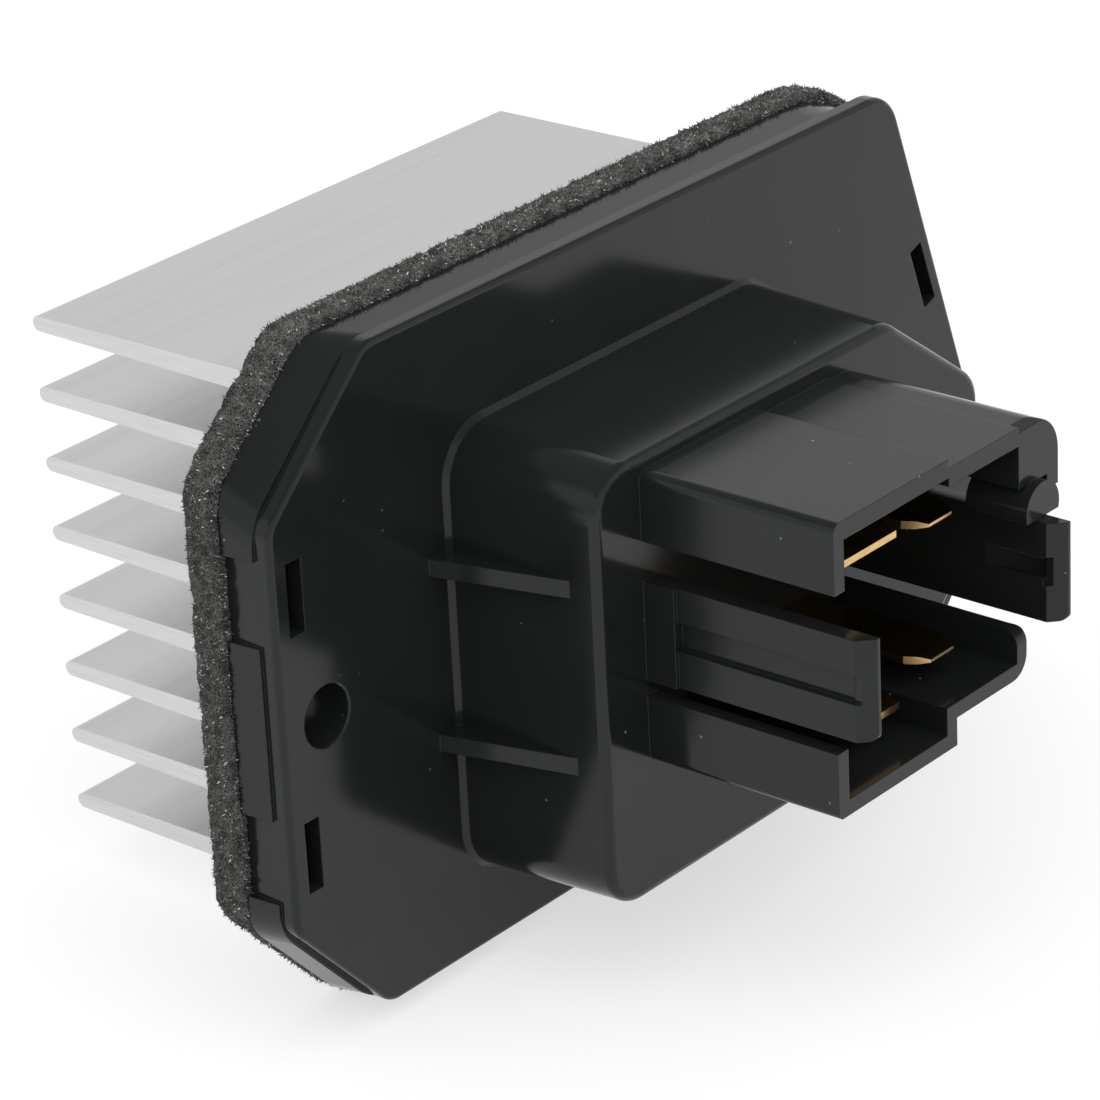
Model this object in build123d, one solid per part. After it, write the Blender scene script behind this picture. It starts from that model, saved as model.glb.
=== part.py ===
from build123d import *
from math import atan2, cos, degrees, hypot, radians, sin, tan
import os

os.makedirs("parts", exist_ok=True)

# Blower motor resistor, millimetres. X runs along the flange, +Y goes from the
# flange back to the fins, and +Z is up. The origin lies on the front face of the
# flange, halfway between its two screw holes.

# Flange plate and its two screw holes
hole_spacing = 95.0
hole_diameter = 6.1
hole_bevel = 0.15
boss_wall = 2.6
edge_beyond_left_hole = 6.15
edge_beyond_right_hole = 11.4
flange_top = 33.95
flange_bottom = 33.5
plate_thickness = 1.8
upper_cut_width = 14.4
upper_cut_height = 13.15
lower_cut_width = 12.4
lower_cut_height = 13.1
slant_width = 16.0
slant_height = 45.05
slant_corner_radius = 5.0
plate_corner_radius = 3.0
plate_edge_radius = 0.6
corner_share = 0.45
slot_length = 7.4
slot_width = 2.0
slot_reach = 13.2
slot_edge_distance = 3.0
slant_slot_edge_distance = 2.5

# Rim behind the plate and the foam gasket behind the rim
rim_depth = 5.5
rim_step = 0.35
rim_draft = 0.3
rim_wall = 2.2
rim_corner_growth = 2.0
rim_corner_radius = 16.0
rim_lower_radius = 9.0
rim_side_radius = 6.0
rim_notch_length = 8.7
foam_thickness = 3.6
foam_overhang = 1.2
foam_clearance = 0.4
foam_lower_cut = 2.2
foam_side_radius = 7.0

# Housing body on the front of the flange
body_left = 29.3
body_right = 33.6
body_top = 21.7
body_bottom = 25.2
body_depth = 17.5
body_wall = 2.0
body_draft = 2.4
body_corner_radius = 5.5
body_edge_radius = 0.9
body_foot_flare = 0.5
body_right_radius = 5.0
upper_bevel_width = 15.6
upper_bevel_height = 11.5
lower_bevel = 18.0
gusset_height = 9.2
gusset_thickness = 1.8
gusset_foot = 2.9
gusset_length = 14.1
post_diameter = 7.0
post_left_inset = 5.6
post_upper_right_inset = 9.6
post_lower_right_inset = 16.6

# Connector hood, tray and latch arms
connector_left = 22.05
mouth_depth = 22.2
connector_wall = 1.6
hood_roof = 1.9
hood_high_top = 19.5
hood_low_top = 18.6
hood_step_x = 3.95
hood_inner_right = 7.45
hood_wing_top = 18.4
hood_wing_floor = 12.2
hood_wing_end = 10.6
hood_wing_width = 6.6
hood_wing_radius = 4.2
hood_wing_slope = 1.3
hood_wing_slope_drop = 0.4
hood_edge_radius = 1.0
hood_left_end = 12.5
bead_radius = 2.75
bead_height = 9.65
bead_inset = 1.3
bead_reach = 1.0
bead_length = 6.0
tray_low_floor = 10.35
tray_high_floor = 7.45
tray_step_x = 3.1
tray_width = 30.65
tray_left_top = 3.5
tray_right_top = 2.4
tray_corner_radius = 2.3
tray_lip_radius = 0.5
tray_corner_drop = 1.7
tray_edge_radius = 0.7
arm_length = 25.5
arm_thickness = 1.9
arm_pitch = 31.0
arm_root_length = 3.6
arm_root_step = 0.4
arm_top = 8.4
arm_bottom = 1.9
arm_channel_depth = 0.7
arm_upper_rail = 3.5
arm_lower_rail = 3.8
arm_lead_in = 1.5
arm_nose = 0.4
arm_tip_radius = 0.7
arm_clearance = 0.4
arm_channel_end = 1.9
arm_pocket_length = 6.6
arm_pocket_depth = 1.4
arm_pocket_height = 2.15
arm_pocket_drop = 0.2
arm_notch_length = 1.2
arm_notch_depth = 0.5

# Blade terminals
power_width = 9.5
power_thickness = 1.2
power_x = -11.05
power_upper_z = 12.15
power_lower_z = -5.6
signal_width = 6.3
signal_thickness = 0.8
signal_x = 0.1
signal_upper_z = 11.0
signal_lower_z = -3.1
blade_reach = 18.3
power_taper_length = 2.9
power_taper_side = 0.7
signal_taper_length = 2.3
signal_taper_side = 1.3
tip_bevel = 0.25
tail_width = 1.6
tail_pitch = 5.2
tail_rise = 1.0

# Circuit board and what it carries
board_thickness = 1.6
board_gap = 1.7
board_margin = 0.6
lead_hole_clearance = 0.1
post_clearance = 0.3
collar_width = 1.5

# Transistor, pad and screw on the heat sink
pad_thickness = 0.3
transistor_width = 15.6
transistor_height = 20.8
transistor_thickness = 4.9
transistor_x = 2.0
transistor_z = 4.0
transistor_hole_drop = 6.0
lead_pitch = 5.45
lead_width = 1.2
lead_thickness = 0.6
lead_drop = 3.4
lead_inset = 2.4

# Small parts on the board
capacitor_diameter = 8.0
capacitor_length = 9.5
capacitor_x = -18.5
capacitor_z = 3.2
shunt_length = 12.0
shunt_height = 5.5
shunt_thickness = 1.2
shunt_foot = 2.4
shunt_x = 8.0
shunt_z = 3.0
chip_width = 5.0
chip_height = 4.0
chip_thickness = 1.6
chip_x = -20.0
chip_z = -7.0
chip_leg_pitch = 1.27
diode_diameter = 3.4
diode_length = 7.0
diode_x = 20.0
diode_z = -4.0
wire_width = 0.9
fuse_diameter = 4.0
fuse_length = 9.0
fuse_x = 21.0
fuse_z = 4.0
resistor_diameter = 2.4
resistor_length = 6.3
resistor_x = 0.0
resistor_z = 17.0
disc_diameter = 5.0
disc_thickness = 2.5
disc_wire_reach = 2.0
disc_x = 21.0
disc_z = -8.5

# Heat sink: an extrusion with eight fins
sink_length = 71.2
sink_centre_x = 1.3
sink_centre_z = -2.0
fin_count = 8
fin_pitch = 7.51
fin_tip_y = 48.4
fin_root_thickness = 2.4
fin_tip_thickness = 1.6
fin_root_fillet = 0.8
sink_edge_margin = 1.4

# Screws
sink_screw_diameter = 3.0
sink_screw_head = 4.4
sink_screw_head_height = 1.8
sink_screw_length = 10.0
screw_clearance = 0.2
clamp_screw_diameter = 3.0
clamp_screw_head = 5.6
clamp_screw_head_height = 2.2

# Positions that follow from the sizes above
flange_left = -hole_spacing / 2 - edge_beyond_left_hole
flange_right = hole_spacing / 2 + edge_beyond_right_hole
slant_angle = degrees(atan2(slant_width, slant_height))
sink_front = plate_thickness
sink_base_back = rim_depth
foam_back = rim_depth + foam_thickness
body_front = -body_depth
body_inner_front = body_front + body_wall
mouth_y = body_front - mouth_depth
board_front = body_inner_front + board_gap
board_back = board_front + board_thickness
connector_left_x = -connector_left
hood_right_x = hood_inner_right + hood_wing_width
arm_left_x = connector_left_x + arm_root_step
arm_right_x = arm_left_x + arm_pitch
blade_tip_y = body_front - blade_reach
transistor_back = sink_front - pad_thickness
transistor_front = transistor_back - transistor_thickness
fin_heights = [sink_centre_z + fin_pitch * (i - (fin_count - 1) / 2) for i in range(fin_count)]
lower_channel = (fin_heights[1] + fin_heights[2]) / 2
upper_channel = (fin_heights[-3] + fin_heights[-2]) / 2
post_left_x = -body_left + body_wall + post_left_inset
SINK_SCREWS = [
    (post_left_x, upper_channel),
    (post_left_x, lower_channel),
    (body_right - body_wall - post_upper_right_inset, upper_channel),
    (body_right - body_wall - post_lower_right_inset, lower_channel),
]
HOLES = [(-hole_spacing / 2, 0), (hole_spacing / 2, 0)]


def wall_plane(y):
    """Plane across the part at height y, drawn in X and Z, facing the connector."""
    return Plane.XZ.offset(-y)


def slab(sketch, y_front, y_back, taper=0):
    """Solid between two values of y from a sketch drawn in X and Z."""
    return extrude(wall_plane(y_back) * sketch, amount=y_back - y_front, taper=taper)


def outline(points):
    """Face from corner points given as (x, z)."""
    return make_face(Polyline(*points, close=True))


def block(x0, x1, y0, y1, z0, z1):
    """Box between two corners."""
    return Pos((x0 + x1) / 2, (y0 + y1) / 2, (z0 + z1) / 2) * Box(x1 - x0, y1 - y0, z1 - z0)


def rod(x, z, diameter, y_front, y_back):
    """Round bar along Y."""
    return slab(Pos(x, z) * Circle(diameter / 2), y_front, y_back)


def round_corner(shape, x, z, radius):
    """The same sketch with the corner nearest to (x, z) rounded."""
    corner = shape.vertices().sort_by_distance((x, z, 0))[0]
    return fillet(corner, radius)


def flange_points(grow=0.0, upper_growth=0.0, lower_cut=0.0, top_growth=0.0):
    """Corners of the flange, moved outward by grow, with its top and two left cuts adjusted."""
    left = flange_left - grow
    right = flange_right + grow
    top = flange_top + grow
    bottom = -flange_bottom - grow
    upper_w = upper_cut_width - upper_growth
    upper_h = upper_cut_height - upper_growth
    lower_w = lower_cut_width + lower_cut
    lower_h = lower_cut_height + lower_cut
    return [
        (left, top - upper_h),
        (left + upper_w, top + top_growth),
        (right - slant_width, top + top_growth),
        (right, top - slant_height),
        (right, bottom + lower_cut_height),
        (right - lower_cut_width, bottom),
        (left + lower_w, bottom),
        (left, bottom + lower_h),
    ]


def corner_room(before, corner, after):
    """Largest radius that leaves room on both sides of a corner for its neighbours' rounding."""
    side_in = Vector(*corner) - Vector(*before)
    side_out = Vector(*after) - Vector(*corner)
    turn = radians(side_in.get_angle(side_out))
    return corner_share * min(side_in.length, side_out.length) / tan(turn / 2)


def rounded_outline(points, radii):
    """Outline with each corner rounded by its own radius, or less where a side is short."""
    shape = outline(points)
    following = points[1:] + points[:1]
    for before, corner, after, radius in zip(points[-1:] + points[:-1], points, following, radii):
        shape = round_corner(shape, *corner, min(radius, corner_room(before, corner, after)))
    return shape


def plate_outline():
    """Outline of the plate, level with the rim along the top."""
    radii = [plate_corner_radius] * 8
    radii[2] = slant_corner_radius
    return rounded_outline(flange_points(top_growth=rim_step), radii)


def rim_outline(grow=0.0, upper_growth=0.0, lower_cut=0.0, inset=0.0, left_radius=rim_side_radius):
    """Outline of the rim or gasket, rounder than the plate at its corners."""
    radii = [rim_side_radius] * 8
    radii[2] = rim_corner_radius
    radii[5] = rim_lower_radius
    radii[6] = rim_lower_radius
    radii[7] = left_radius
    return rounded_outline(flange_points(grow, upper_growth, lower_cut), [r - inset for r in radii])


def slot_places():
    """Centre, turn and distance to the edge of each of the four slots beside the screw holes."""
    left_x = flange_left + slot_edge_distance
    right_x = flange_right - slot_edge_distance
    slant_z = slot_reach * cos(radians(slant_angle))
    slant_x = flange_right - slant_width + slant_width * (flange_top - slant_z) / slant_height
    slant_x -= slant_slot_edge_distance / cos(radians(slant_angle))
    return [
        (left_x, slot_reach, 0, slot_edge_distance),
        (left_x, -slot_reach, 0, slot_edge_distance),
        (slant_x, slant_z, slant_angle, slant_slot_edge_distance),
        (right_x, -slot_reach, 0, slot_edge_distance),
    ]


def make_flange():
    """Flat plate with a deeper rim behind it, screw bosses, slots and side notches."""
    plate = slab(plate_outline(), 0, plate_thickness)
    plate = fillet(plate.faces().sort_by(Axis.Y)[0].edges(), plate_edge_radius)
    rim_faces = [
        wall_plane(plate_thickness) * rim_outline(rim_step),
        wall_plane(rim_depth) * rim_outline(rim_step + rim_draft, rim_corner_growth),
    ]
    rim = loft(rim_faces, ruled=True)
    rim -= slab(rim_outline(rim_step - rim_wall, inset=rim_wall), plate_thickness, rim_depth)
    flange = plate + rim
    for x, z in HOLES:
        flange += rod(x, z, hole_diameter + 2 * boss_wall, 0, rim_depth)
    notch_reach = 2 * (rim_step + rim_draft)
    for x, z, turn, edge_distance in slot_places():
        place = Pos(x, z) * Rot(0, 0, turn)
        flange -= slab(place * Rectangle(slot_width, slot_length), 0, plate_thickness)
        side = 1 if x > 0 else -1
        reach = Pos(side * (edge_distance + notch_reach / 2), 0)
        notch = place * reach * Rectangle(notch_reach, rim_notch_length)
        flange -= slab(notch, plate_thickness, rim_depth)
    for x, z in HOLES:
        flange -= rod(x, z, hole_diameter, 0, rim_depth)
        wide = hole_diameter / 2 + hole_bevel
        bevel = Cone(wide, hole_diameter / 2, hole_bevel)
        flange -= Pos(x, hole_bevel / 2, z) * Rot(-90, 0, 0) * bevel
    return flange


def body_outline(inset=0.0):
    """Body outline with two rounded left corners and two slanted right corners."""
    left = -body_left
    points = [
        (left, body_top),
        (body_right - upper_bevel_width, body_top),
        (body_right, body_top - upper_bevel_height),
        (body_right, -body_bottom + lower_bevel),
        (body_right - lower_bevel, -body_bottom),
        (left, -body_bottom),
    ]
    shape = round_corner(outline(points), body_right, body_top - upper_bevel_height, body_right_radius)
    for x, z in points[3:] + points[:2]:
        shape = round_corner(shape, x, z, body_corner_radius)
    if inset:
        shape = offset(shape, amount=-inset)
    return shape


def make_body():
    """Drafted hollow body, open at the back."""
    outside = slab(body_outline(), body_front, 0, taper=body_draft)
    front_rim = outside.faces().sort_by(Axis.Y)[0].edges()
    outside = fillet(front_rim, body_edge_radius)
    foot = offset(body_outline(), amount=body_foot_flare)
    outside += slab(foot, -body_foot_flare, 0, taper=45)
    lean = tan(radians(body_draft))
    for height in (gusset_height, -gusset_height):
        for side, face_x in ((-1, -body_left), (1, body_right)):
            if side > 0 and height > 0:
                continue
            inner_x = face_x - side * body_wall / 2
            tip_x = face_x - side * gusset_length * lean
            corners = [(inner_x, 0), (face_x + side * gusset_foot, 0),
                       (tip_x, -gusset_length), (inner_x, -gusset_length)]
            side_face = make_face(Polyline(*corners, close=True))
            rib = extrude(side_face, amount=gusset_thickness / 2, both=True)
            outside += Pos(0, 0, height) * rib
    inside = slab(body_outline(body_wall), body_inner_front, plate_thickness, taper=body_draft)
    return outside, inside


def hood_outline():
    """Section of the hood over the upper blades, with its thick right wing."""
    left = connector_left_x
    step = -hood_step_x
    right = hood_right_x
    inner_left = left + connector_wall
    points = [
        (left, hood_left_end),
        (left, hood_high_top),
        (step, hood_high_top),
        (step, hood_low_top),
        (hood_inner_right, hood_low_top),
        (hood_inner_right, hood_wing_top),
        (right, hood_wing_top),
        (right, hood_wing_end),
        (right - hood_roof, hood_wing_end),
        (right - hood_roof, hood_wing_floor),
        (hood_inner_right, hood_wing_floor),
        (hood_inner_right, hood_low_top - hood_roof),
        (step, hood_low_top - hood_roof),
        (step, hood_high_top - hood_roof),
        (inner_left, hood_high_top - hood_roof),
        (inner_left, hood_left_end),
    ]
    shape = round_corner(outline(points), right, hood_wing_top, hood_wing_radius)
    return round_corner(shape, left, hood_high_top, hood_edge_radius)


def tray_outline():
    """Section of the tray under the lower blades, with its floor in two levels."""
    left = connector_left_x
    step = -tray_step_x
    right = left + tray_width
    inner_left = left + connector_wall
    inner_right = right - connector_wall
    points = [
        (left, -tray_left_top),
        (left, -tray_low_floor),
        (step, -tray_low_floor),
        (step, -tray_high_floor),
        (right, -tray_high_floor),
        (right, -tray_right_top),
        (inner_right, -tray_right_top),
        (inner_right, -tray_high_floor + connector_wall),
        (step - connector_wall, -tray_high_floor + connector_wall),
        (step - connector_wall, -tray_low_floor + connector_wall),
        (inner_left, -tray_low_floor + connector_wall),
        (inner_left, -tray_left_top),
    ]
    shape = round_corner(outline(points), right, -tray_high_floor, tray_corner_radius)
    shape = round_corner(shape, right, -tray_right_top, tray_lip_radius)
    return round_corner(shape, left, -tray_low_floor, tray_edge_radius)


def make_arm(x, side):
    """Latch arm along Y: the left one has a long channel, the right one a curved pocket."""
    tip = body_front - arm_length
    far = x + arm_thickness
    side_points = [(tip, -arm_bottom), (tip, arm_top), (body_front, arm_top), (body_front, -arm_bottom)]
    side_shape = round_corner(outline(side_points), tip, -arm_bottom, arm_tip_radius)
    side_plane = Plane(origin=(x, 0, 0), x_dir=(0, 1, 0), z_dir=(1, 0, 0))
    arm = extrude(side_plane * side_shape, amount=arm_thickness)
    step_x = arm_root_step if side > 0 else -arm_root_step
    arm += block(x + step_x, far + step_x, body_front - arm_root_length, body_front,
                 -arm_bottom, arm_top)
    channel_bottom = -arm_bottom + arm_lower_rail
    channel_top = arm_top - arm_upper_rail
    channel_end = tip + arm_channel_end
    if side < 0:
        arm -= block(x, x + arm_channel_depth, channel_end, body_front - arm_root_length,
                     channel_bottom, channel_top)
    else:
        pocket_start = channel_end + arm_pocket_length
        curve = (arm_pocket_length ** 2 + arm_pocket_depth ** 2) / (2 * arm_pocket_depth)
        corners = [(x, pocket_start), (x, channel_end), (x + arm_pocket_depth, channel_end)]
        hollow = make_face(Polyline(*corners, close=True))
        hollow += make_face(Polyline(corners[0], corners[2]) + RadiusArc(corners[2], corners[0], curve))
        pocket = extrude(hollow, amount=arm_pocket_height)
        arm -= Pos(0, 0, channel_top - arm_pocket_drop - arm_pocket_height) * pocket
    arm -= block(x, x + arm_notch_depth, channel_end - arm_notch_length, channel_end,
                 channel_bottom, channel_top)
    lead = [(x, tip), (far - arm_nose, tip), (x, tip + arm_lead_in)]
    wedge = extrude(make_face(Polyline(*lead, close=True)), amount=arm_top + arm_bottom)
    return arm - Pos(0, 0, -arm_bottom) * wedge


def front_corner(x0, x1, top, radius):
    """What a wall loses when its top corner at the connector's mouth is rounded."""
    corner = block(x0, x1, mouth_y, mouth_y + radius, top - radius, top)
    round_bar = Cylinder(radius, x1 - x0)
    return corner - Pos((x0 + x1) / 2, mouth_y + radius, top - radius) * Rot(0, 90, 0) * round_bar


def make_connector():
    """Hood, tray, bead and two latch arms, standing on the front of the body."""
    back = body_front + body_wall / 2
    hood = slab(hood_outline(), mouth_y, back)
    slope = [(mouth_y, hood_wing_top), (mouth_y + hood_wing_slope, hood_wing_top),
             (mouth_y, hood_wing_top - hood_wing_slope_drop)]
    wing_plane = Plane(origin=(hood_inner_right, 0, 0), x_dir=(0, 1, 0), z_dir=(1, 0, 0))
    hood -= extrude(wing_plane * outline(slope), amount=hood_wing_width)
    bead_x = hood_right_x - bead_inset - bead_radius
    bead = rod(bead_x, bead_height, 2 * bead_radius, mouth_y - bead_reach, mouth_y + bead_length)
    under = arm_top + arm_clearance
    bead -= block(bead_x - 2 * bead_radius, bead_x + 2 * bead_radius, mouth_y - 2 * bead_reach,
                  body_front, -arm_bottom, under)
    tray = slab(tray_outline(), mouth_y, back)
    tray_right = connector_left_x + tray_width
    tray -= front_corner(tray_right - connector_wall, tray_right, -tray_right_top, tray_corner_drop)
    return hood + bead + tray + make_arm(arm_left_x, -1) + make_arm(arm_right_x, 1)


def make_blade(x, z, width, thickness):
    """Blade with a tapered tip, narrowing to two tails behind the circuit board."""
    is_power = width == power_width
    taper_length = power_taper_length if is_power else signal_taper_length
    taper_side = power_taper_side if is_power else signal_taper_side
    tip = blade_tip_y
    shoulder = body_inner_front
    half = width / 2
    points = [
        (x - half, shoulder),
        (x - half, tip + taper_length),
        (x - half + taper_side, tip),
        (x + half - taper_side, tip),
        (x + half, tip + taper_length),
        (x + half, shoulder),
    ]
    blade = extrude(make_face(Polyline(*points, close=True)), amount=thickness / 2, both=True)
    tip_edges = blade.edges().filter_by(Axis.X).group_by(Axis.Y)[0]
    blade = chamfer(tip_edges, tip_bevel, taper_length / 2)
    pitch = tail_pitch if is_power else tail_pitch / 2
    for side in (-1, 1):
        tail_x = side * pitch / 2 + x
        blade += block(tail_x - tail_width / 2, tail_x + tail_width / 2, shoulder,
                       board_back + tail_rise, -thickness / 2, thickness / 2)
    return Pos(0, 0, z) * blade


def blade_slot(x, z, width, thickness):
    """Opening in the front wall that the blade fills."""
    return block(x - width / 2, x + width / 2, body_front - body_wall, body_inner_front,
                 z - thickness / 2, z + thickness / 2)


BLADES = {
    "power_blade_upper": (power_x, power_upper_z, power_width, power_thickness),
    "power_blade_lower": (power_x, power_lower_z, power_width, power_thickness),
    "signal_blade_upper": (signal_x, signal_upper_z, signal_width, signal_thickness),
    "signal_blade_lower": (signal_x, signal_lower_z, signal_width, signal_thickness),
}


def make_housing():
    """One moulding: flange, body, posts and connector."""
    outside, inside = make_body()
    housing = make_flange() + outside + make_connector()
    housing -= inside
    for x, z in SINK_SCREWS:
        collar = rod(x, z, post_diameter + 2 * collar_width, body_inner_front, board_front)
        post = rod(x, z, post_diameter, body_inner_front, plate_thickness)
        housing += (collar + post) & slab(body_outline(body_wall / 2), body_front, plate_thickness)
    for x, z in SINK_SCREWS:
        screw_end = sink_base_back - sink_screw_length
        housing -= rod(x, z, sink_screw_diameter, screw_end, plate_thickness)
    for place in BLADES.values():
        housing -= blade_slot(*place)
    return housing


def fin_profile(height):
    """One tapered fin with a round tip, drawn in Y and Z from inside the base."""
    root = fin_root_thickness / 2
    tip = fin_tip_thickness / 2
    foot = sink_base_back - fin_root_fillet
    neck = fin_tip_y - tip
    flare = root + fin_root_fillet
    points = [
        (foot, height - flare),
        (sink_base_back, height - flare),
        (sink_base_back + fin_root_fillet, height - root),
        (neck, height - tip),
        (neck, height + tip),
        (sink_base_back + fin_root_fillet, height + root),
        (sink_base_back, height + flare),
        (foot, height + flare),
    ]
    return outline(points) + Pos(neck, height) * Circle(tip)


def fin_stack_half():
    """Half the height of the stack of fins."""
    return fin_pitch * (fin_count - 1) / 2 + fin_root_thickness / 2


def make_heat_sink():
    """Extrusion along X: base plate and fins, with its screw holes."""
    half = fin_stack_half() + sink_edge_margin
    base = Pos((sink_front + sink_base_back) / 2, sink_centre_z)
    profile = base * Rectangle(sink_base_back - sink_front, 2 * half)
    for height in fin_heights:
        profile += fin_profile(height)
    side = Plane(origin=(sink_centre_x - sink_length / 2, 0, 0), x_dir=(0, 1, 0), z_dir=(1, 0, 0))
    sink = extrude(side * profile, amount=sink_length)
    for x, z in SINK_SCREWS:
        sink -= rod(x, z, sink_screw_diameter + 2 * screw_clearance, sink_front, sink_base_back)
        seat = sink_screw_head + 2 * screw_clearance
        sink -= rod(x, z, seat, sink_base_back, sink_base_back + sink_screw_head_height)
    x, z = clamp_place()
    sink -= rod(x, z, clamp_screw_diameter, sink_front, sink_base_back)
    return sink


def clamp_place():
    """Where the transistor's screw goes through it into the heat sink."""
    return transistor_x, transistor_z + transistor_height / 2 - transistor_hole_drop


def make_foam():
    """Gasket ring behind the rim, open around the fins and at the screw holes."""
    grow = rim_step + foam_overhang
    ring = rim_outline(grow, rim_corner_growth, foam_lower_cut, left_radius=foam_side_radius)
    half_x = sink_length / 2 + foam_clearance
    half_z = fin_stack_half() + fin_root_fillet + foam_clearance
    ring -= Pos(sink_centre_x, sink_centre_z) * Rectangle(2 * half_x, 2 * half_z)
    for x, z in HOLES:
        ring -= Pos(x, z) * Circle(hole_diameter / 2)
    return slab(ring, rim_depth, foam_back)


def tail_points(place):
    """Centres of a blade's two tails where they pass the circuit board."""
    x, z, width, thickness = place
    pitch = tail_pitch if width == power_width else tail_pitch / 2
    return [(x - pitch / 2, z, thickness), (x + pitch / 2, z, thickness)]


def lead_points():
    """Centres of the transistor's three leads at the circuit board."""
    z = transistor_z - transistor_height / 2 - lead_drop
    return [(transistor_x + i * lead_pitch, z) for i in (-1, 0, 1)]


def make_board():
    """Circuit board that fills the body around its four posts."""
    shape = body_outline(body_wall + board_margin + body_draft * body_depth / 50)
    for x, z in SINK_SCREWS:
        shape -= Pos(x, z) * Circle(post_diameter / 2 + post_clearance)
    for place in BLADES.values():
        for x, z, thickness in tail_points(place):
            gap = 2 * lead_hole_clearance
            shape -= Pos(x, z) * Rectangle(tail_width + gap, thickness + gap)
    for x, z in lead_points():
        gap = 2 * lead_hole_clearance
        shape -= Pos(x, z) * Rectangle(lead_width + gap, lead_thickness + gap)
    return slab(shape, board_front, board_back)


def make_transistor():
    """Moulded package with its mounting hole."""
    x0 = transistor_x - transistor_width / 2
    z0 = transistor_z - transistor_height / 2
    body = block(x0, x0 + transistor_width, transistor_front, transistor_back,
                 z0, z0 + transistor_height)
    x, z = clamp_place()
    hole = clamp_screw_diameter + 2 * screw_clearance
    return body - rod(x, z, hole, transistor_front, transistor_back)


def make_leads():
    """Three flat leads that leave the package and turn into the circuit board."""
    z_body = transistor_z - transistor_height / 2
    y_mid = transistor_back - lead_inset
    leads = []
    for x, z in lead_points():
        x0 = x - lead_width / 2
        x1 = x + lead_width / 2
        drop = block(x0, x1, y_mid - lead_thickness / 2, y_mid + lead_thickness / 2,
                     z - lead_thickness / 2, z_body)
        run = block(x0, x1, board_front, y_mid, z - lead_thickness / 2, z + lead_thickness / 2)
        leads.append(drop + run)
    return Compound(children=leads)


def make_pad():
    """Thin insulating pad between the transistor and the heat sink."""
    x0 = transistor_x - transistor_width / 2
    z0 = transistor_z - transistor_height / 2
    pad = block(x0, x0 + transistor_width, transistor_back, sink_front, z0, z0 + transistor_height)
    x, z = clamp_place()
    return pad - rod(x, z, clamp_screw_diameter + 2 * screw_clearance, transistor_back, sink_front)


def make_clamp_screw():
    """Screw that holds the transistor to the heat sink."""
    x, z = clamp_place()
    shank = rod(x, z, clamp_screw_diameter, transistor_front, sink_base_back)
    head = rod(x, z, clamp_screw_head, transistor_front - clamp_screw_head_height, transistor_front)
    return shank + head


def make_sink_screws():
    """Four screws from the fin side through the base into the posts."""
    screws = []
    for x, z in SINK_SCREWS:
        end = sink_base_back - sink_screw_length
        shank = rod(x, z, sink_screw_diameter, end, sink_base_back)
        head = rod(x, z, sink_screw_head, sink_base_back, sink_base_back + sink_screw_head_height)
        screws.append(shank + head)
    return Compound(children=screws)


def make_capacitor():
    """Round can standing on the back of the board."""
    return rod(capacitor_x, capacitor_z, capacitor_diameter, board_back, board_back + capacitor_length)


def make_shunt():
    """Flat metal strip bent into a bridge over the board."""
    z0 = shunt_z - shunt_length / 2
    z1 = shunt_z + shunt_length / 2
    outer = [
        (board_back, z0), (board_back + shunt_height, z0),
        (board_back + shunt_height, z1), (board_back, z1),
        (board_back, z1 - shunt_thickness),
        (board_back + shunt_height - shunt_thickness, z1 - shunt_thickness),
        (board_back + shunt_height - shunt_thickness, z0 + shunt_thickness),
        (board_back, z0 + shunt_thickness),
    ]
    side = Plane(origin=(shunt_x - shunt_foot / 2, 0, 0), x_dir=(0, 1, 0), z_dir=(1, 0, 0))
    return extrude(side * outline(outer), amount=shunt_foot)


def make_chip():
    """Small eight-leg control chip lying on the board."""
    body = block(chip_x - chip_width / 2, chip_x + chip_width / 2, board_back,
                 board_back + chip_thickness, chip_z - chip_height / 2, chip_z + chip_height / 2)
    leg = chip_leg_pitch / 3
    for i in range(4):
        x = chip_x + (i - 1.5) * chip_leg_pitch
        body += block(x - leg / 2, x + leg / 2, board_back, board_back + leg,
                      chip_z - chip_height / 2 - leg * 2, chip_z + chip_height / 2 + leg * 2)
    return body


def lying_part(x, z, diameter, length):
    """Round body lying on the board along X, with a square wire at each end turned into it."""
    y = board_back + diameter / 2
    half = wire_width / 2
    reach = length / 2 + 2 * wire_width
    part = Pos(x, y, z) * Rot(0, 90, 0) * Cylinder(diameter / 2, length)
    part += block(x - reach - half, x + reach + half, y - half, y + half, z - half, z + half)
    for end in (x - reach, x + reach):
        part += block(end - half, end + half, board_back, y, z - half, z + half)
    return part


def make_disc_capacitor():
    """Small disc capacitor standing on the board on two square wires."""
    y = board_back + disc_wire_reach + disc_diameter / 2
    half = wire_width / 2
    part = Pos(disc_x, y, disc_z) * Cylinder(disc_diameter / 2, disc_thickness)
    for x in (disc_x - disc_diameter / 4, disc_x + disc_diameter / 4):
        part += block(x - half, x + half, board_back, y, disc_z - half, disc_z + half)
    return part


def write(name, shape):
    """Write one sub-part to its own STEP file."""
    shape.label = name
    export_step(shape, f"parts/{name}.step")


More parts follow.
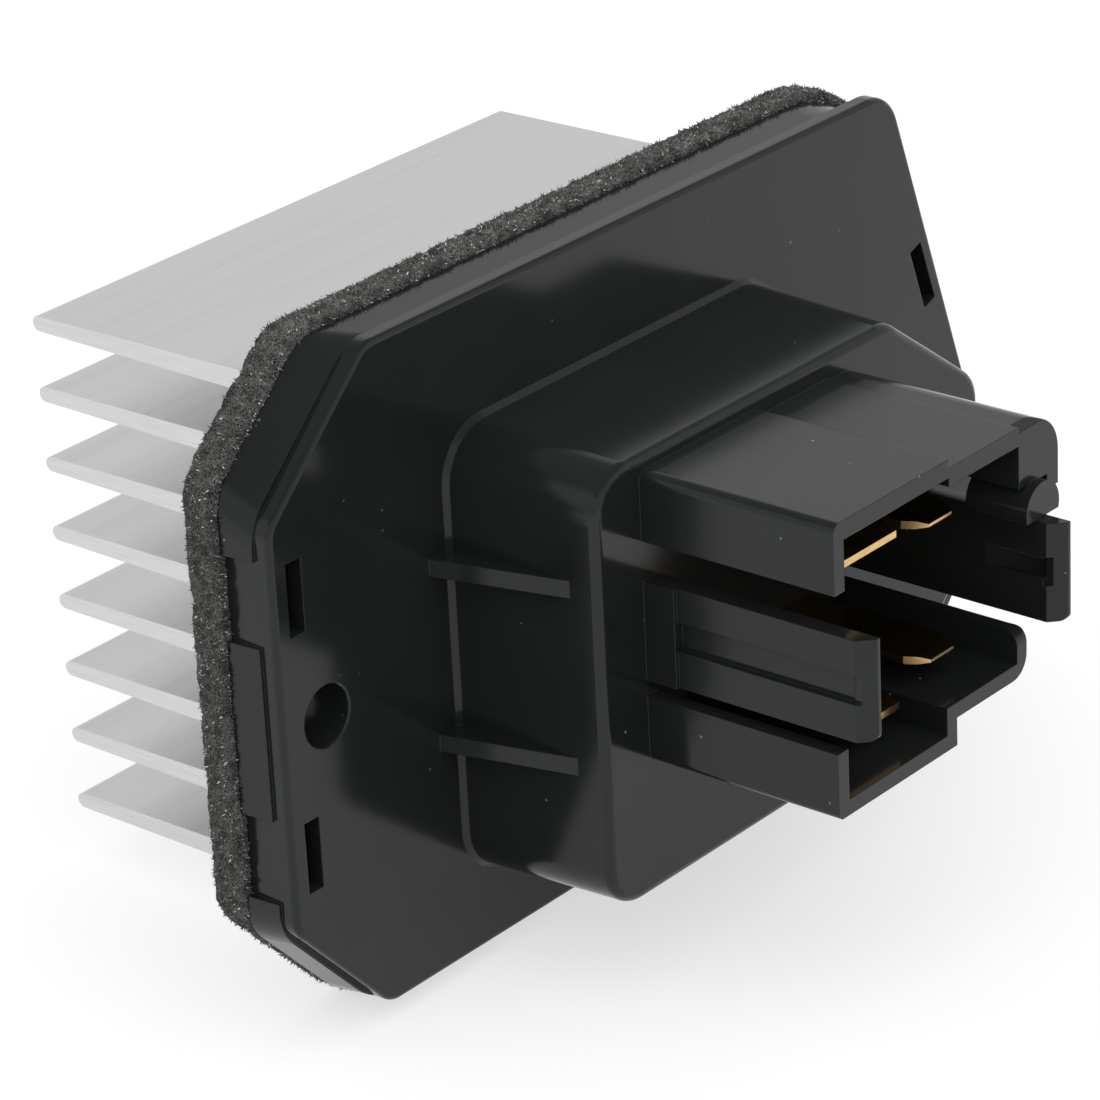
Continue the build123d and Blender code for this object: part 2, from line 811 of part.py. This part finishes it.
write("housing", make_housing())
write("heat_sink", make_heat_sink())
write("foam_gasket", make_foam())
for name, place in BLADES.items():
    write(name, make_blade(*place))
write("circuit_board", make_board())
write("transistor", make_transistor())
write("transistor_leads", make_leads())
write("thermal_pad", make_pad())
write("transistor_screw", make_clamp_screw())
write("heat_sink_screws", make_sink_screws())
write("capacitor", make_capacitor())
write("shunt_strip", make_shunt())
write("control_chip", make_chip())
write("diode", lying_part(diode_x, diode_z, diode_diameter, diode_length))
write("thermal_fuse", lying_part(fuse_x, fuse_z, fuse_diameter, fuse_length))
write("gate_resistor", lying_part(resistor_x, resistor_z, resistor_diameter, resistor_length))
write("disc_capacitor", make_disc_capacitor())
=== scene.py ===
from math import cos, radians, sin

import bmesh
import bpy
from mathutils import Matrix, Vector, noise


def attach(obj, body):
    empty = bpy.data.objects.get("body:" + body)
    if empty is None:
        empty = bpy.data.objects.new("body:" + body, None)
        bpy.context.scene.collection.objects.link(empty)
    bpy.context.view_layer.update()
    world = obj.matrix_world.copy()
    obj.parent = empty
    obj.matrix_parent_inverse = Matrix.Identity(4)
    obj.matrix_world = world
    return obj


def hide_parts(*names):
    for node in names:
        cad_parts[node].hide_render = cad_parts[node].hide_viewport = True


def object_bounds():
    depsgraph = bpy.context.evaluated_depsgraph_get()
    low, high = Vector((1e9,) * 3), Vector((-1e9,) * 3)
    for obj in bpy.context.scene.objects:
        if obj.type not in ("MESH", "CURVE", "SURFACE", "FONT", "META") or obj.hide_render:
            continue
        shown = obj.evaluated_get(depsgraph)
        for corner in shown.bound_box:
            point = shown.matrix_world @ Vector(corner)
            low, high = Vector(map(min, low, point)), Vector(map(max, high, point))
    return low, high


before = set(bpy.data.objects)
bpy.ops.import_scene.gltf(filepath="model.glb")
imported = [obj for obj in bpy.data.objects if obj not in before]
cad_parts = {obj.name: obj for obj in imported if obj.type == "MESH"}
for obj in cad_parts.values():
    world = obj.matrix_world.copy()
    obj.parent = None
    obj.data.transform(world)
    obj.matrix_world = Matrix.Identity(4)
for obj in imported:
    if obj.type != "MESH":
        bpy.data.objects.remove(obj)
cad_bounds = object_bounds()
MM = 0.001

# Camera fitted to the photograph: place, near limit, lens and sensor in mm, angles in degrees
CAMERA_PLACE = (-341.5, -278.2, 198.2)
CAMERA_AZIMUTH = -49.60
CAMERA_ELEVATION = 24.30
CAMERA_ROLL = -2.85
CAMERA_LENS = 159.2
CAMERA_SENSOR = 36.0
CAMERA_NEAR = 10.0

# Floor: size and gap under the part in mm, paint, and glow for the camera and for gloss
FLOOR_GAP = 0.3
FLOOR_SIZE = 6000.0
FLOOR_PAINT = "#bcbcbc"
FLOOR_GLOW = 0.62

# Sky: strength of its light, strength seen low and high, and the rise at which it turns
SKY_LEVEL = 0.70
SKY_LOW_GLOSS = 0.80
SKY_HIGH_GLOSS = 0.26
SKY_TURN = (0.55, 0.70)

# Soft lamp over the front left: place and size in mm, power in watts
KEY_PLACE = (-300.0, -420.0, 900.0)
KEY_SIZE = 1500.0
KEY_POWER = 5.5

# Moulding: mould grain, drift of tone, grain depth and rounding of edges in mm
NYLON_GRAIN = 0.35
NYLON_DRIFT = 14.0
NYLON_DEPTH = 0.02
NYLON_EDGE = 0.12
NYLON_ROUGHNESS = (0.12, 0.16)

# Dust on the moulding: distance between specks and size of a speck in mm
DUST_PITCH = 3.6
DUST_SIZE = 0.18
DUST_COLOUR = "#868c8c"

# Heat sink: patterns along X, Y and Z and their depth in mm; faces turned to X are cut ends
DIE_LINES = (60.0, 0.35, 0.35)
DIE_BANDS = (45.0, 3.0, 3.0)
SAW_MARKS = (2.0, 6.0, 0.18)
MARK_DEPTH = 0.02
CUT_END = 0.8

# Foam surface: voxel, pores, change of tone and cells in mm
FOAM_MERGE = 0.001
FOAM_VOXEL = 0.45
FOAM_PORE = 1.3
FOAM_DEPTH = 0.30
FOAM_FINE_PORE = 0.6
FOAM_FINE_DEPTH = 0.25
FOAM_FINE_SHIFT = (7.3, 1.9, 4.1)
FOAM_TONE = 1.2
CELL_SIZE = 0.3
CELL_DEPTH = 0.1

# Torn cell walls: number per square mm, sizes in mm, lean and spread of size as shares
SPIKE_DENSITY = 6.8
SPIKE_LENGTH = 0.36
SPIKE_RADIUS = 0.08
SPIKE_SIDES = 3
SPIKE_TILT = 0.8
SPIKE_SPREAD = (0.4, 1.3)
SPIKE_SEED = 11


def linear(hex_colour):
    """Linear colour from an sRGB hex value."""
    values = [int(hex_colour[i:i + 2], 16) / 255 for i in (1, 3, 5)]
    return [v / 12.92 if v <= 0.04045 else ((v + 0.055) / 1.055) ** 2.4 for v in values] + [1.0]


def set_stops(elements, stops):
    """Place the elements of a colour ramp at (position, hex colour) stops."""
    while len(elements) < len(stops):
        elements.new(0.5)
    for element, (position, colour) in zip(elements, stops):
        element.position = position
        element.color = linear(colour)


def add(tree, kind, settings=None, **inputs):
    """A node with its settings and inputs, set or linked.

    In an input's name _ stands for a space, and iN is input number N. On a Mix node
    2 and 3 are the numbers and 6 and 7 the colours. The setting stops fills a ramp.
    """
    node = tree.nodes.new(kind)
    for name, value in (settings or {}).items():
        if name == "stops":
            set_stops(node.color_ramp.elements, value)
        else:
            setattr(node, name, value)
    for name, value in inputs.items():
        numbered = name[0] == "i" and name[1:].isdigit()
        socket = node.inputs[int(name[1:]) if numbered else name.replace("_", " ")]
        if isinstance(value, bpy.types.NodeSocket):
            tree.links.new(value, socket)
        else:
            socket.default_value = value
    return node


def new_material(name):
    """Empty node material and its tree."""
    material = bpy.data.materials.new(name)
    material.use_nodes = True
    material.node_tree.nodes.clear()
    return material, material.node_tree


def finish_material(tree, shader):
    """Link a shader to the material's output."""
    out = add(tree, "ShaderNodeOutputMaterial")
    tree.links.new(shader, out.inputs["Surface"])


def pattern_space(tree, size_mm):
    """Object coordinates in which one unit is size_mm, a number or one per axis."""
    sizes = size_mm if isinstance(size_mm, tuple) else (size_mm,) * 3
    place = add(tree, "ShaderNodeTexCoord").outputs["Object"]
    mapping = add(tree, "ShaderNodeMapping", Vector=place, Scale=[1 / (s * MM) for s in sizes])
    return mapping.outputs["Vector"]


def moulded_nylon():
    """Glass-filled nylon from a finely sparked mould: black, half gloss, softly rounded edges,
    with a few pale specks of dust."""
    material, tree = new_material("moulded_black_nylon")
    grain = add(tree, "ShaderNodeTexNoise", Vector=pattern_space(tree, NYLON_GRAIN), Scale=1.0,
                Detail=3.0).outputs["Fac"]
    drift = add(tree, "ShaderNodeTexNoise", Vector=pattern_space(tree, NYLON_DRIFT), Scale=1.0,
                Detail=2.0).outputs["Fac"]
    black = add(tree, "ShaderNodeValToRGB", {"stops": [(0.3, "#1f2121"), (0.7, "#232525")]},
                Fac=drift).outputs["Color"]
    specks = add(tree, "ShaderNodeTexVoronoi", {"feature": "F1"},
                 Vector=pattern_space(tree, DUST_PITCH), Scale=1.0, Randomness=1.0)
    near = add(tree, "ShaderNodeMapRange", Value=specks.outputs["Distance"],
               From_Min=DUST_SIZE / DUST_PITCH / 2, From_Max=DUST_SIZE / DUST_PITCH,
               To_Min=1.0, To_Max=0.0).outputs["Result"]
    chance = add(tree, "ShaderNodeSeparateXYZ", Vector=specks.outputs["Color"]).outputs["X"]
    dust = add(tree, "ShaderNodeMath", {"operation": "MULTIPLY"}, i0=near, i1=chance).outputs["Value"]
    colour = add(tree, "ShaderNodeMix", {"data_type": "RGBA"}, Factor=dust, i6=black,
                 i7=linear(DUST_COLOUR)).outputs[2]
    rough = add(tree, "ShaderNodeMapRange", Value=drift, To_Min=NYLON_ROUGHNESS[0],
                To_Max=NYLON_ROUGHNESS[1]).outputs["Result"]
    edge = add(tree, "ShaderNodeBevel", {"samples": 6}, Radius=NYLON_EDGE * MM).outputs["Normal"]
    bump = add(tree, "ShaderNodeBump", Strength=0.10, Distance=NYLON_DEPTH * MM, Height=grain,
               Normal=edge)
    shader = add(tree, "ShaderNodeBsdfPrincipled", Base_Color=colour, Roughness=rough, IOR=1.45,
                 Specular_IOR_Level=0.35, Normal=bump.outputs["Normal"])
    finish_material(tree, shader.outputs["BSDF"])
    return material


def extruded_aluminium():
    """Extruded aluminium: pale and satin, with die lines along the fins and fine saw marks
    on the cut ends."""
    material, tree = new_material("extruded_aluminium")
    lines = add(tree, "ShaderNodeTexNoise", Vector=pattern_space(tree, DIE_LINES), Scale=1.0,
                Detail=4.0).outputs["Fac"]
    bands = add(tree, "ShaderNodeTexNoise", Vector=pattern_space(tree, DIE_BANDS), Scale=1.0,
                Detail=2.0).outputs["Fac"]
    saw = add(tree, "ShaderNodeTexNoise", Vector=pattern_space(tree, SAW_MARKS), Scale=1.0,
              Detail=3.0).outputs["Fac"]
    normal = add(tree, "ShaderNodeNewGeometry").outputs["Normal"]
    across = add(tree, "ShaderNodeSeparateXYZ", Vector=normal).outputs["X"]
    across = add(tree, "ShaderNodeMath", {"operation": "ABSOLUTE"}, i0=across).outputs["Value"]
    end = add(tree, "ShaderNodeMath", {"operation": "GREATER_THAN"}, i0=across,
              i1=CUT_END).outputs["Value"]
    both = add(tree, "ShaderNodeMath", {"operation": "ADD"}, i0=lines, i1=bands).outputs["Value"]
    fin_colour = add(tree, "ShaderNodeValToRGB", {"stops": [(0.75, "#dadada"), (1.0, "#e0e0e0")]},
                     Fac=both).outputs["Color"]
    end_colour = add(tree, "ShaderNodeValToRGB", {"stops": [(0.3, "#cacaca"), (0.7, "#d4d4d4")]},
                     Fac=saw).outputs["Color"]
    colour = add(tree, "ShaderNodeMix", {"data_type": "RGBA"}, Factor=end, i6=fin_colour,
                 i7=end_colour).outputs[2]
    height = add(tree, "ShaderNodeMix", {"data_type": "FLOAT"}, Factor=end, i2=lines,
                 i3=saw).outputs[0]
    bump = add(tree, "ShaderNodeBump", Strength=0.25, Distance=MARK_DEPTH * MM, Height=height)
    shader = add(tree, "ShaderNodeBsdfPrincipled", Base_Color=colour, Metallic=1.0, Roughness=0.34,
                 Normal=bump.outputs["Normal"])
    finish_material(tree, shader.outputs["BSDF"])
    return material


def open_cell_foam():
    """Open-cell polyurethane foam cut from sheet: dark grey and dull, with fine pores whose dark centres
    are painted shade.
    """
    material, tree = new_material("open_cell_grey_foam_painted_pore_shade")
    cells = add(tree, "ShaderNodeTexVoronoi", {"feature": "DISTANCE_TO_EDGE"},
                Vector=pattern_space(tree, CELL_SIZE), Scale=1.0, Randomness=1.0).outputs["Distance"]
    shade = add(tree, "ShaderNodeTexNoise", Vector=pattern_space(tree, FOAM_TONE), Scale=1.0,
                Detail=4.0).outputs["Fac"]
    # Cell ramp: pale grey at the cell walls is the foam's own colour; near black at the cell centres is
    # painted shade in the pores
    walls = add(tree, "ShaderNodeValToRGB",
                {"stops": [(0.02, "#7b7a77"), (0.14, "#51504e"), (0.40, "#262625")]},
                Fac=cells).outputs["Color"]
    tone = add(tree, "ShaderNodeValToRGB", {"stops": [(0.3, "#7c7c7c"), (0.7, "#ffffff")]},
               Fac=shade).outputs["Color"]
    colour = add(tree, "ShaderNodeMix", {"data_type": "RGBA", "blend_type": "MULTIPLY"}, Factor=1.0,
                 i6=walls, i7=tone).outputs[2]
    bump = add(tree, "ShaderNodeBump", {"invert": True}, Strength=0.9, Distance=CELL_DEPTH * MM,
               Height=cells)
    shader = add(tree, "ShaderNodeBsdfPrincipled", Base_Color=colour, Roughness=0.92,
                 Normal=bump.outputs["Normal"])
    finish_material(tree, shader.outputs["BSDF"])
    return material


def torn_foam():
    """Torn cell walls at the cut face of the foam: thin, dull grey, a few of them painted near white as
    painted glints.
    """
    material, tree = new_material("torn_foam_cell_walls_painted_glints")
    cell = add(tree, "ShaderNodeVectorMath", {"operation": "FLOOR"},
               i0=pattern_space(tree, CELL_SIZE)).outputs["Vector"]
    value = add(tree, "ShaderNodeTexWhiteNoise", Vector=cell).outputs["Value"]
    # Random grey per cell is the foam's own tone; the few near-white cells are painted glints
    grey = add(tree, "ShaderNodeValToRGB",
               {"stops": [(0.0, "#30302f"), (0.5, "#646361"), (0.9, "#a19f9b"), (0.96, "#f0efec")]},
               Fac=value).outputs["Color"]
    shader = add(tree, "ShaderNodeBsdfPrincipled", Base_Color=grey, Roughness=0.6)
    finish_material(tree, shader.outputs["BSDF"])
    return material


def plain_finish(name, low, high, size_mm, rough, metallic=0.0, bump_mm=0.01, strength=0.2):
    """Two close colours mixed by noise of a real size, with the same noise as bump."""
    material, tree = new_material(name)
    value = add(tree, "ShaderNodeTexNoise", Vector=pattern_space(tree, size_mm), Scale=1.0,
                Detail=3.0).outputs["Fac"]
    colour = add(tree, "ShaderNodeValToRGB", {"stops": [(0.3, low), (0.7, high)]},
                 Fac=value).outputs["Color"]
    bump = add(tree, "ShaderNodeBump", Strength=strength, Distance=bump_mm * MM, Height=value)
    shader = add(tree, "ShaderNodeBsdfPrincipled", Base_Color=colour, Metallic=metallic,
                 Roughness=rough, Normal=bump.outputs["Normal"])
    finish_material(tree, shader.outputs["BSDF"])
    return material


def dress(node, material):
    """Put a material on every slot of a CAD node."""
    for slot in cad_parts[node].material_slots:
        slot.material = material


def plain_mesh(piece):
    """The piece's evaluated mesh, with its modifiers applied."""
    bpy.context.view_layer.update()
    evaluated = piece.evaluated_get(bpy.context.evaluated_depsgraph_get())
    return bpy.data.meshes.new_from_object(evaluated)


def make_foam(material):
    """The gasket ring, its surface broken into pores that go inward from the cut sheet."""
    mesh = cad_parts["foam_gasket"].data.copy()
    merged = bmesh.new()
    merged.from_mesh(mesh)
    bmesh.ops.remove_doubles(merged, verts=merged.verts, dist=FOAM_MERGE * MM)
    merged.to_mesh(mesh)
    merged.free()
    piece = bpy.data.objects.new("foam_ring", mesh)
    bpy.context.scene.collection.objects.link(piece)
    remesh = piece.modifiers.new("cells", "REMESH")
    remesh.mode = "VOXEL"
    remesh.voxel_size = FOAM_VOXEL * MM
    fine = plain_mesh(piece)
    piece.modifiers.remove(remesh)
    piece.data = fine
    fine.materials.clear()
    fine.materials.append(material)
    normals = [v.normal.copy() for v in fine.vertices]
    for vertex, normal in zip(fine.vertices, normals):
        place = vertex.co / (FOAM_PORE * MM)
        small = vertex.co / (FOAM_FINE_PORE * MM) + Vector(FOAM_FINE_SHIFT)
        pore = max(0.0, noise.noise(place)) * FOAM_DEPTH
        grain = max(0.0, noise.noise(small)) * FOAM_FINE_DEPTH
        vertex.co -= normal * (pore + grain) * MM
    for polygon in fine.polygons:
        polygon.use_smooth = False
    fine.update()
    return piece


def cell_wall_tree(material):
    """Geometry node tree that scatters small leaning spikes over a surface."""
    tree = bpy.data.node_groups.new("torn_cells", "GeometryNodeTree")
    tree.interface.new_socket("Geometry", in_out="OUTPUT", socket_type="NodeSocketGeometry")
    tree.interface.new_socket("Geometry", in_out="INPUT", socket_type="NodeSocketGeometry")
    for name in ("Density", "Length", "Radius", "Tilt"):
        tree.interface.new_socket(name, in_out="INPUT", socket_type="NodeSocketFloat")
    given = add(tree, "NodeGroupInput").outputs
    points = add(tree, "GeometryNodeDistributePointsOnFaces", Mesh=given["Geometry"],
                 Density=given["Density"], Seed=SPIKE_SEED)
    spike = add(tree, "GeometryNodeMeshCone", {"fill_type": "NONE"}, Vertices=SPIKE_SIDES,
                Radius_Bottom=given["Radius"], Depth=given["Length"])
    lean = add(tree, "FunctionNodeRandomValue", {"data_type": "FLOAT_VECTOR"}, i0=(-1.0, -1.0, -1.0),
               i1=(1.0, 1.0, 1.0), Seed=SPIKE_SEED + 1).outputs[0]
    lean = add(tree, "ShaderNodeVectorMath", {"operation": "SCALE"}, Vector=lean,
               Scale=given["Tilt"]).outputs[0]
    way = add(tree, "ShaderNodeVectorMath", {"operation": "ADD"}, i0=points.outputs["Normal"],
              i1=lean).outputs[0]
    turn = add(tree, "FunctionNodeAlignRotationToVector", {"axis": "Z"}, Vector=way).outputs[0]
    size = add(tree, "FunctionNodeRandomValue", {"data_type": "FLOAT"}, i2=SPIKE_SPREAD[0],
               i3=SPIKE_SPREAD[1], Seed=SPIKE_SEED + 2).outputs[1]
    placed = add(tree, "GeometryNodeInstanceOnPoints", Points=points.outputs["Points"],
                 Instance=spike.outputs["Mesh"], Rotation=turn, Scale=size)
    real = add(tree, "GeometryNodeRealizeInstances", Geometry=placed.outputs["Instances"])
    painted = add(tree, "GeometryNodeSetMaterial", Geometry=real.outputs["Geometry"], Material=material)
    add(tree, "NodeGroupOutput", Geometry=painted.outputs["Geometry"])
    return tree


def make_torn_cells(foam, material):
    """Spikes of torn cell wall over the foam ring."""
    piece = bpy.data.objects.new("torn_foam_cells", foam.data.copy())
    bpy.context.scene.collection.objects.link(piece)
    spikes = piece.modifiers.new("spikes", "NODES")
    spikes.node_group = cell_wall_tree(material)
    sizes = {"Density": SPIKE_DENSITY / MM ** 2, "Length": SPIKE_LENGTH * MM,
             "Radius": SPIKE_RADIUS * MM, "Tilt": SPIKE_TILT}
    for item in spikes.node_group.interface.items_tree:
        if item.in_out == "INPUT" and item.name in sizes:
            spikes[item.identifier] = sizes[item.name]
    made = plain_mesh(piece)
    piece.modifiers.remove(spikes)
    piece.data = made
    return piece


def make_camera():
    """Camera at the place and angle of the photograph."""
    azimuth = radians(CAMERA_AZIMUTH)
    elevation = radians(CAMERA_ELEVATION)
    roll = radians(CAMERA_ROLL)
    back = Vector((sin(azimuth) * cos(elevation), -cos(azimuth) * cos(elevation), sin(elevation)))
    right = (-back).cross(Vector((0, 0, 1))).normalized()
    up = right.cross(-back)
    image_right = cos(roll) * right + sin(roll) * up
    image_up = -sin(roll) * right + cos(roll) * up
    turn = Matrix((image_right, image_up, back)).transposed().to_4x4()
    data = bpy.data.cameras.new("camera")
    data.lens = CAMERA_LENS
    data.sensor_width = CAMERA_SENSOR
    data.clip_start = CAMERA_NEAR * MM
    camera = bpy.data.objects.new("camera", data)
    camera.matrix_world = Matrix.Translation(Vector(CAMERA_PLACE) * MM) @ turn
    bpy.context.scene.collection.objects.link(camera)
    bpy.context.scene.camera = camera


def seen_directly(tree):
    """1 for rays from the camera, from gloss and through glass, else 0."""
    path = add(tree, "ShaderNodeLightPath").outputs
    first = add(tree, "ShaderNodeMath", {"operation": "MAXIMUM"}, i0=path["Is Camera Ray"],
                i1=path["Is Glossy Ray"])
    either = add(tree, "ShaderNodeMath", {"operation": "MAXIMUM"}, i0=first.outputs[0],
                 i1=path["Is Transmission Ray"])
    return either.outputs[0]


def make_sky():
    """White surroundings that gloss sees bright near the horizon and dim overhead."""
    world = bpy.data.worlds.new("studio")
    bpy.context.scene.world = world
    world.use_nodes = True
    tree = world.node_tree
    tree.nodes.clear()
    way = add(tree, "ShaderNodeTexCoord").outputs["Generated"]
    rise = add(tree, "ShaderNodeSeparateXYZ", Vector=way).outputs["Z"]
    gloss = add(tree, "ShaderNodeMapRange", Value=rise, From_Min=SKY_TURN[0], From_Max=SKY_TURN[1],
                To_Min=SKY_LOW_GLOSS, To_Max=SKY_HIGH_GLOSS).outputs["Result"]
    level = add(tree, "ShaderNodeMix", {"data_type": "FLOAT"}, Factor=seen_directly(tree),
                i2=SKY_LEVEL, i3=gloss)
    sky = add(tree, "ShaderNodeBackground", Color=linear("#ffffff"), Strength=level.outputs[0])
    out = add(tree, "ShaderNodeOutputWorld")
    tree.links.new(sky.outputs["Background"], out.inputs["Surface"])


def make_floor():
    """Pale painted floor that glows to white for the camera and keeps the part's shadow."""
    material, tree = new_material("painted_studio_floor")
    paint = add(tree, "ShaderNodeBsdfDiffuse", Color=linear(FLOOR_PAINT))
    level = add(tree, "ShaderNodeMath", {"operation": "MULTIPLY"}, i0=seen_directly(tree),
                i1=FLOOR_GLOW)
    glow = add(tree, "ShaderNodeEmission", Color=linear("#ffffff"), Strength=level.outputs[0])
    total = add(tree, "ShaderNodeAddShader", i0=paint.outputs[0], i1=glow.outputs[0])
    finish_material(tree, total.outputs[0])
    half = FLOOR_SIZE / 2 * MM
    height = cad_bounds[0][2] - FLOOR_GAP * MM
    corners = [(-half, -half, height), (half, -half, height), (half, half, height), (-half, half, height)]
    mesh = bpy.data.meshes.new("floor")
    mesh.from_pydata(corners, [], [(0, 1, 2, 3)])
    mesh.materials.append(material)
    floor = bpy.data.objects.new("floor", mesh)
    bpy.context.scene.collection.objects.link(floor)


def make_lamp():
    """One large soft lamp aimed at the part; gloss doesn't see it."""
    lamp = bpy.data.lights.new("key", "AREA")
    lamp.size = KEY_SIZE * MM
    lamp.energy = KEY_POWER
    key = bpy.data.objects.new("key", lamp)
    place = Vector(KEY_PLACE) * MM
    key.visible_glossy = False
    key.matrix_world = Matrix.Translation(place) @ place.to_track_quat("Z", "Y").to_matrix().to_4x4()
    bpy.context.scene.collection.objects.link(key)


bpy.context.scene.view_settings.view_transform = "Standard"
make_camera()
make_sky()
make_floor()
make_lamp()

dress("housing", moulded_nylon())
dress("heat_sink", extruded_aluminium())

# Stamped and plated brass: warm, bright on its cut edges, grained along the blade
plated = plain_finish("plated_brass_blade", "#cda76b", "#e1c080", (1.5, 4.0, 0.4), 0.20, 1.0,
                      strength=0.1)
for blade in ("power_blade_upper", "power_blade_lower", "signal_blade_upper", "signal_blade_lower"):
    dress(blade, plated)

# Glass-fibre board under green solder mask: glossy, with a slow change of tone
dress("circuit_board", plain_finish("solder_masked_board", "#15462a", "#1c5a35", 2.0, 0.35))

# Epoxy moulded round a chip: near black and matt, with a fine grain
epoxy = plain_finish("moulded_epoxy", "#1b1b1d", "#232325", 0.3, 0.55, bump_mm=0.02)
for case in ("transistor", "control_chip", "diode"):
    dress(case, epoxy)

# Hot-tinned copper: pale grey metal, streaked down the leads
dress("transistor_leads", plain_finish("tinned_copper", "#b9b8b2", "#cfcec8", (0.3, 0.3, 3.0), 0.32, 1.0))

# Filled silicone sheet: light grey and dull
dress("thermal_pad", plain_finish("silicone_pad", "#8d9296", "#9da1a5", 0.8, 0.75))

# Zinc-plated steel: cool grey metal with a soft sheen
zinc = plain_finish("zinc_plated_steel", "#a9abae", "#bec0c2", 0.8, 0.36, 1.0)
for screw in ("transistor_screw", "heat_sink_screws"):
    dress(screw, zinc)

# Aluminium can in a shrunk plastic sleeve: dark blue and glossy
dress("capacitor", plain_finish("sleeved_can", "#14161f", "#1b1e2a", 1.5, 0.3))

# Rolled copper-nickel strip: pinkish metal with fine rolling lines up the strip
dress("shunt_strip", plain_finish("rolled_resistance_alloy", "#a97c58", "#bd8f69", (0.3, 0.3, 6.0),
                                  0.38, 1.0))

# Drawn metal can of the fuse: yellowish grey, smooth
dress("thermal_fuse", plain_finish("drawn_fuse_can", "#a8a491", "#bab6a3", 1.0, 0.35, 1.0))

# Ceramic rod under tan lacquer, and ceramic disc dipped in orange-brown resin: smooth and glossy
dress("gate_resistor", plain_finish("lacquered_ceramic", "#bfa377", "#ccb186", 0.8, 0.4))
dress("disc_capacitor", plain_finish("dipped_ceramic", "#b8702b", "#c67f38", 1.0, 0.45))

foam = make_foam(open_cell_foam())
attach(foam, "root")
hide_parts("foam_gasket")
torn = make_torn_cells(foam, torn_foam())
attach(torn, "root")
